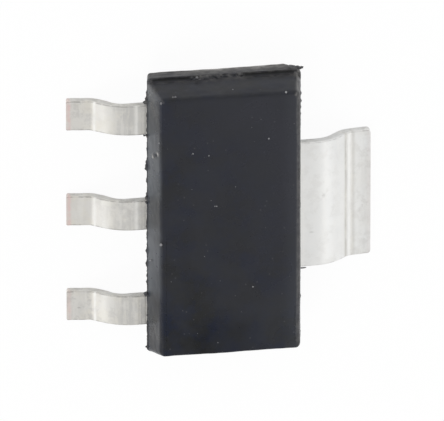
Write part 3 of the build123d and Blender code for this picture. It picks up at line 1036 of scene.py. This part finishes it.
def strip_piece(name, node, y, wings, top_steps, material):
    """One stamped piece: a wing on one or both sides, each turned to its own side and moved along y.

    Each wing is its rows, the side it points to, its marks, its finish, how much bare copper its tip shows
    and the tip's lean. The finish takes the reach along x, the place across and the upper side's share, and
    gives film, painted highlights, what is pressed in and painted dark with shade, and mottling. Leads are
    yellow all over, which also paints them darker with shade; the tab is yellow only where it says.
    """
    section = half_section(top_steps)
    _, _, up, edge_shade = section
    half = np.stack([edge_shade, step(up, 0.2 * STRIP, 0.45 * STRIP)])
    edge, upper = np.concatenate([half, half[:, -2:0:-1]], axis=1)
    grids = []
    values = {key: [] for key in ("cut", "edge", "film", "painted_highlight", "warm_and_shade", "mottle")}
    for rows, toward, marks, finish, copper, lean in wings:
        bare = strip_surface(rows, marks, lean, section)
        grid = bare * np.array([toward, 1, 1]) + np.array([0, y, 0])
        reach, tip = rows[0] / MM, rows[5] / MM
        film, painted_highlight, pressed, mottle = finish(reach, bare[..., 1], upper)
        # Painted shade along the edges, weaker on the tab; the yellower tin paints the leads darker with shade
        shaded_edges, warm_and_shade = (edge, 1.0) if toward < 0 else (0.45 * edge, tab_warmth_and_shade(grid, reach))
        found = (
            copper * (0.35 * (tip < 0.02) + bell(tip - 0.068, 0.046))[:, None],
            np.maximum(shaded_edges, pressed),
            film,
            painted_highlight,
            warm_and_shade * step(reach, 0.5, 1.5)[:, None] * (0.60 + 0.40 * upper),
            mottle + 0.6 * (1 - upper),
        )
        grids.append((grid, True))
        for parts, part in zip(values.values(), found):
            parts.append(np.broadcast_to(part, grid.shape[:2]))
    return surface(name, grids, material, node, values)


def lead_wing(rows, lead):
    """A lead's rows with the marks and the finish that its own traits give."""

    def finish(reach, across, upper):
        return lead_finish(reach, across, upper, lead)

    return rows, -1, lead_marks(lead.heel), finish, lead.copper, 0.045


def outer_lead(name, node, y, lead, material):
    """Gate or source lead: bond post inside the body, then the narrow lead."""
    post_start = -GATE_HIGH.x
    post_end = post_start + POST_DEPTH

    def half_width(x):
        return np.where(x < post_end, POST_HALF_WIDTH, LEAD_HALF_WIDTH)

    rows = closed_start(strip_wing(post_start, half_width, LEAD_CORNER, 150))
    return strip_piece(name, node, y, [lead_wing(rows, lead)], 24, material)


def drain_strip(material):
    """Tab, die pad and centre lead in one piece."""
    middle = (PAD_INNER + PAD_OUTER) / 2

    def lead_half(x):
        return np.where(x < -PAD_INNER, PAD_HALF_LENGTH, LEAD_HALF_WIDTH)

    def tab_half(x):
        return np.where(x < PAD_OUTER, PAD_HALF_LENGTH, TAB_HALF_WIDTH)

    lead = strip_wing(-middle, lead_half, LEAD_CORNER, 190)
    tab = strip_wing(middle, tab_half, TAB_CORNER, 170)
    wings = [lead_wing(lead, DRAIN_LEAD), (tab, 1, tab_marks, tab_finish, 0.1, -0.022)]
    return strip_piece("drain_strip", "drain_leadframe", 0.0, wings, 66, material)


# ---------------------------------------------------------------- studio


def white_sweep(camera_share, glossy_share):
    """Round white sweep: a flat floor whose rim curves up into a low wall, as a surface of revolution."""
    floor_reach, bend, wall_height, columns = 0.75, 0.25, 0.28, 72
    arc = np.linspace(0, pi / 2, 13)
    flat = np.linspace(0.0005, floor_reach, 12)
    across = np.concatenate([flat, floor_reach + bend * np.sin(arc[1:]), [floor_reach + bend]])[:, None]
    height = np.concatenate([0 * flat, bend * (1 - np.cos(arc[1:])), [wall_height]])[:, None]
    around = np.arange(columns) / columns * 2 * pi
    points = placed(across * np.cos(around), across * np.sin(around), height)
    faces = grid_faces(*points.shape[:2], 0, True)
    mesh = bpy.data.meshes.new("sweep")
    mesh.from_pydata(points.reshape(-1, 3), [], [tuple(range(columns)), *map(tuple, faces.tolist())])
    mesh.shade_smooth()
    mesh.materials.append(sweep_white(camera_share, glossy_share))
    put_in_scene("sweep", mesh)


def sweep_white(camera_share, glossy_share):
    """Matt white that the camera and reflections see in part as plain white, so the shadow on it is faint."""
    material = bpy.data.materials.new("sweep_white")
    material.use_nodes = True
    tree = material.node_tree
    tree.nodes.remove(tree.nodes["Principled BSDF"])
    diffuse = new_node(tree, "ShaderNodeBsdfDiffuse", {"Color": (0.96, 0.96, 0.96)}).outputs[0]
    glow = new_node(tree, "ShaderNodeEmission", {"Strength": 1.0}).outputs[0]
    rays = new_node(tree, "ShaderNodeLightPath", {}).outputs
    camera = product(tree, rays["Is Camera Ray"], camera_share)
    glossy = product(tree, rays["Is Glossy Ray"], glossy_share)
    seen = larger(tree, camera, glossy)
    blend = new_node(tree, "ShaderNodeMixShader", {0: seen, 1: diffuse, 2: glow}).outputs[0]
    feed(tree, tree.nodes["Material Output"], {"Surface": blend})
    return material


def white_world(level):
    """Even pale light from above. The camera sees it as plain white."""
    world = bpy.data.worlds.new("studio")
    bpy.context.scene.world = world
    world.use_nodes = True
    tree = world.node_tree
    camera = new_node(tree, "ShaderNodeLightPath", {}).outputs["Is Camera Ray"]
    strength = new_node(tree, "ShaderNodeMapRange", {"Value": camera, "To Min": level, "To Max": 1.0})
    feed(tree, tree.nodes["Background"], {"Color": (1.0, 1.0, 1.0), "Strength": strength.outputs["Result"]})


def soft_light(name, direction, distance, size, watts):
    """Soft light at a distance from the object, facing it, that the camera doesn't see."""
    data = bpy.data.lights.new(name, "AREA")
    data.shape = "RECTANGLE"
    data.size, data.size_y = size
    data.energy = watts
    light = put_in_scene(name, data)
    way = Vector(direction).normalized()
    light.location = way * distance
    light.rotation_mode = "QUATERNION"
    light.rotation_quaternion = way.to_track_quat("Z", "Y")
    light.visible_camera = False
    return light


def long_lens():
    """Camera far above the package, leaning a little towards the leads and the gate's end."""
    lean_x, lean_y = radians(10.8), radians(20.3)
    distance = 382 * MM
    aim = Vector((-0.058, 0.022, 0.9)) * MM
    back = Vector((-cos(lean_y) * sin(lean_x), sin(lean_y), cos(lean_y) * cos(lean_x)))
    right = Vector((0, 1, 0)).cross(back).normalized()
    data = bpy.data.cameras.new("camera")
    data.sensor_width = 36
    data.lens = 1362
    data.clip_start = 0.01
    data.clip_end = 10
    camera = put_in_scene("camera", data)
    turn = Matrix((right, back.cross(right), back)).transposed()
    camera.matrix_world = Matrix.Translation(aim + back * distance) @ turn.to_4x4()
    bpy.context.scene.camera = camera


# ---------------------------------------------------------------- assembly

GRAIN = grain_group()
EPOXY = mould_compound()
TIN = tinned_copper()
FILLER = two_tone("silica_filler", (0.16, 0.16, 0.17), (0.30, 0.30, 0.31), 0.5, 40.0, 0.0)

mould_body(EPOXY)
parting_flash(EPOXY)
gate_scar(EPOXY)
resin_crumbs(EPOXY)
filler_grains(FILLER)
outer_lead("gate_strip", "gate_lead", LEAD_PITCH, GATE_LEAD, TIN)
outer_lead("source_strip", "source_lead", -LEAD_PITCH, SOURCE_LEAD, TIN)
drain_strip(TIN)

dress_node("mosfet_die", two_tone("silicon", (0.055, 0.060, 0.085), (0.090, 0.095, 0.125), 0.22, 20.0, 0.0))
dress_node("die_attach", two_tone("solder", (0.42, 0.42, 0.43), (0.56, 0.56, 0.57), 0.42, 26.0, 1.0))
WIRE = two_tone("bond_aluminium", (0.78, 0.78, 0.79), (0.88, 0.88, 0.89), 0.30, 45.0, 1.0)
for wire in ("gate_bond_wire", "source_bond_wire_1", "source_bond_wire_2"):
    dress_node(wire, WIRE)

white_sweep(0.95, 0.20)
white_world(0.80)
soft_light("side_light", (0.767, -0.348, 0.54), 0.30, (0.11, 0.16), 0.018)
soft_light("low_light", (-0.921, -0.348, 0.22), 0.30, (0.30, 0.10), 0.034)
soft_light("top_light", (-0.35, -0.50, 0.79), 0.60, (0.30, 0.30), 0.90).visible_glossy = False
long_lens()
bpy.context.scene.view_settings.view_transform = "Standard"
